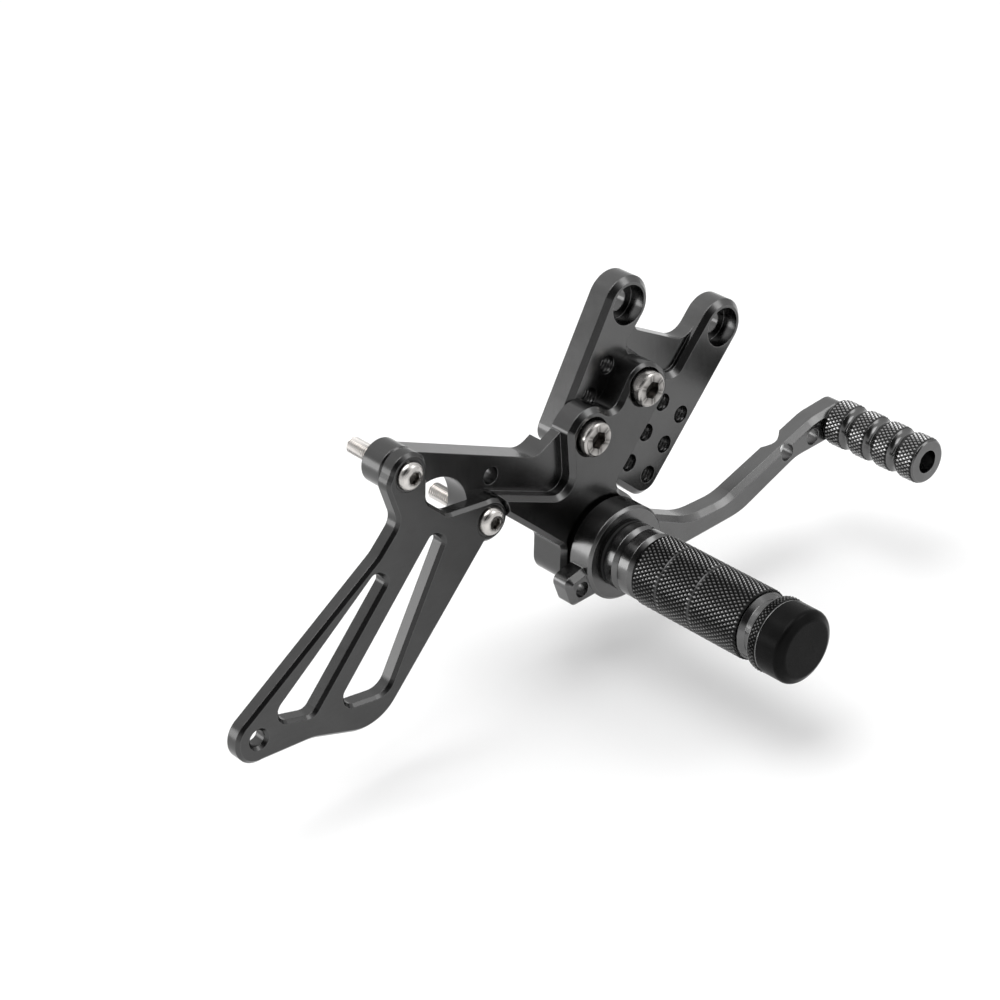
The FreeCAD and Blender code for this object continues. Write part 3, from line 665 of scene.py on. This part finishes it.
# Carrier screws: knurled cap heads
cap_low, cap_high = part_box("carrier_screws")
for i, (column, row) in enumerate(CARRIER_SCREW_CELLS):
    cell = grid_place(column, row)
    cap_screw = socket_screw(
        "carrier_screw_" + str(i + 1), CAP_HEAD, M8, cap_high.y - cap_low.y, screw_steel, knurled=True)
    set_screw(cap_screw, Vector((cell.x, cap_low.y, cell.z)), "rearset", "carrier_screws")

# Peg bolt, its head on the inner side
bolt_low, bolt_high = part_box("peg_bolt")
peg_bolt = socket_screw(
    "peg_bolt_knurled", BOLT_HEAD, M10, bolt_high.y - bolt_low.y, screw_steel, knurled=True)
set_screw(peg_bolt, Vector((PIVOT.x, bolt_high.y, PIVOT.z)), "rearset", "peg_bolt", outward=False)

# Toe peg screw, countersunk from behind the lever
sunk_low, sunk_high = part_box("toe_peg_screw")
toe_axis = (sunk_low + sunk_high) / 2.0
toe_screw = socket_screw(
    "toe_peg_screw_countersunk", SUNK_HEAD, M6, sunk_high.y - sunk_low.y, screw_steel)
set_screw(
    toe_screw, Vector((toe_axis.x, sunk_high.y, toe_axis.z)), "brake_pedal", "toe_peg_screw", outward=False)

# Threads in the free tapped holes of the mount plate
plate_low, plate_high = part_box("mount_plate")
threads = bmesh.new()
for row in range(1, GRID_ROWS + 1):
    for column in range(1, GRID_COLUMNS + 1):
        if (column, row) in CARRIER_SCREW_CELLS:
            continue
        add_thread(
            threads, grid_place(column, row), plate_low.y + TAPPED_INSET, plate_high.y - TAPPED_INSET,
            TAPPED_CORE_RADIUS + TAPPED_STAND, TAPPED_CORE_RADIUS - TAPPED_RIDGE, TAPPED_PITCH,
            TAPPED_SIDES, flip=True)
tapped_threads = new_piece("tapped_threads", threads, plate_finish)
smooth_by_angle(tapped_threads, THREAD_SMOOTHING)
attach(tapped_threads, "rearset")

# Footpeg knurling
peg_low, peg_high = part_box("footpeg")
grip_near = peg_high.y - 2.0 * (PEG_COLLAR + PEG_GROOVE)
grip_knurl = knurled_finish("grip_knurling", tone=0.12, axis=PIVOT, radius=PEG_RADIUS)
knurled_sleeve(
    "footpeg_grip_knurl", PIVOT, grip_near, grip_near - PEG_GRIP, PEG_RADIUS, PEG_KNURL_TEETH, grip_knurl,
    "rearset", ring_lines=PEG_GRIP_LINES)
ring_knurl = knurled_finish("ring_knurling", tone=0.12, axis=PIVOT, radius=PEG_RING_RADIUS)
knurled_sleeve(
    "footpeg_ring_knurl", PIVOT, peg_low.y + PEG_RING - PEG_RING_EDGE, peg_low.y + PEG_RING_EDGE,
    PEG_RING_RADIUS, RING_KNURL_TEETH, ring_knurl, "rearset")

# Toe peg: round-bottomed waists between the knurled bands, an open bore in its end
toe_low, toe_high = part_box("toe_peg")
toe_pitch = (toe_high.y - toe_low.y + TOE_GROOVE) / TOE_BANDS
toe_waists = [toe_high.y - i * toe_pitch + 0.5 * TOE_GROOVE for i in range(1, TOE_BANDS)]
half_waist = 0.5 * TOE_WAIST_LENGTH
toe_profile = [
    (toe_high.y - TOE_THREAD_DEPTH - TOE_THREAD_RADIUS, 0.0),
    (toe_high.y - TOE_THREAD_DEPTH, TOE_THREAD_RADIUS),
    (toe_high.y, TOE_THREAD_RADIUS),
    (toe_high.y, TOE_RADIUS - TOE_RIM),
    (toe_high.y - TOE_RIM, TOE_RADIUS),
]
for waist in toe_waists:
    for step in range(TOE_WAIST_STEPS + 1):
        share = 2.0 * step / TOE_WAIST_STEPS - 1.0
        dip = (TOE_RADIUS - TOE_WAIST_RADIUS) * (1.0 - share * share)
        toe_profile.append((waist - share * half_waist, TOE_RADIUS - dip))
toe_profile += [
    (toe_low.y + TOE_RIM, TOE_RADIUS),
    (toe_low.y, TOE_RADIUS - TOE_RIM),
    (toe_low.y, TOE_BORE_RADIUS),
    (toe_low.y + TOE_BORE_DEPTH, TOE_BORE_RADIUS),
    (toe_low.y + TOE_BORE_DEPTH + TOE_BORE_CONE, 0.0),
]
toe_turned = turned_piece("toe_peg_turned", toe_axis, toe_profile, peg_turned, "brake_pedal")
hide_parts("toe_peg")
toe_knurl = knurled_finish("toe_knurling", tone=0.42, axis=toe_axis, radius=TOE_RADIUS)
band_starts = [toe_high.y - TOE_BAND_EDGE] + [waist - half_waist for waist in toe_waists]
band_ends = [waist + half_waist for waist in toe_waists] + [toe_low.y + TOE_BAND_EDGE]
for i in range(TOE_BANDS):
    knurled_sleeve(
        "toe_peg_knurl_" + str(i + 1), toe_axis, band_starts[i], band_ends[i], TOE_RADIUS,
        TOE_KNURL_TEETH, toe_knurl, "brake_pedal")

# Floor: low enough for the toe peg when the lever is pressed right down
pressed = math.radians(LEVER_RANGE[1])
toe_arm = toe_axis - PIVOT
pressed_toe = PIVOT.z - toe_arm.x * math.sin(pressed) + toe_arm.z * math.cos(pressed)
floor_level = min(cad_box[0].z, pressed_toe - TOE_RADIUS - KNURL_DEPTH) - FLOOR_GAP
floor_build = bmesh.new()
floor_corners = []
for x, y in ((-1, -1), (1, -1), (1, 1), (-1, 1)):
    floor_corners.append(floor_build.verts.new((x * FLOOR_REACH, y * FLOOR_REACH, floor_level)))
floor_build.faces.new(floor_corners)
floor = new_piece("studio_floor", floor_build, floor_finish())

# Studio light: a pale dome with a dark screen above the horizon on the camera's side, and three soft boxes
world = bpy.data.worlds.new("studio")
world.use_nodes = True
bpy.context.scene.world = world
sky = Board(world.node_tree)
direction = sky.make("ShaderNodeTexCoord", {}, {}, "Generated")
towards_camera = sky.vector_maths("DOT_PRODUCT", direction, CAMERA_BACK, "Value")
dark_screen = towards_camera.clamped(*SCREEN_SPREAD) * direction.part("Z").clamped(*SCREEN_HEIGHTS)
height = direction.part("Z").clamped(*DOME_HEIGHTS)
dome = (DOME_LOW + height * DOME_RISE) * (1.0 - dark_screen * SCREEN_SHADE)
backdrop = sky.make("ShaderNodeBackground", {}, {"Color": (1.0, 1.0, 1.0, 1.0), "Strength": dome})
sky.make("ShaderNodeOutputWorld", {}, {"Surface": backdrop})
middle = (cad_box[0] + cad_box[1]) / 2.0
for name, (offset, width, power) in SOFT_BOXES.items():
    soft_box(name, middle + offset, middle, width, power)

# Camera
camera_data = bpy.data.cameras.new("camera")
camera_data.lens = CAMERA_LENS
camera_data.sensor_width = CAMERA_SENSOR
camera = bpy.data.objects.new("camera", camera_data)
turn = Matrix((CAMERA_RIGHT, CAMERA_UP, CAMERA_BACK)).transposed()
camera.matrix_world = Matrix.Translation(CAMERA_PLACE) @ turn.to_4x4()
bpy.context.scene.collection.objects.link(camera)
bpy.context.scene.camera = camera
bpy.context.scene.view_settings.view_transform = "Standard"
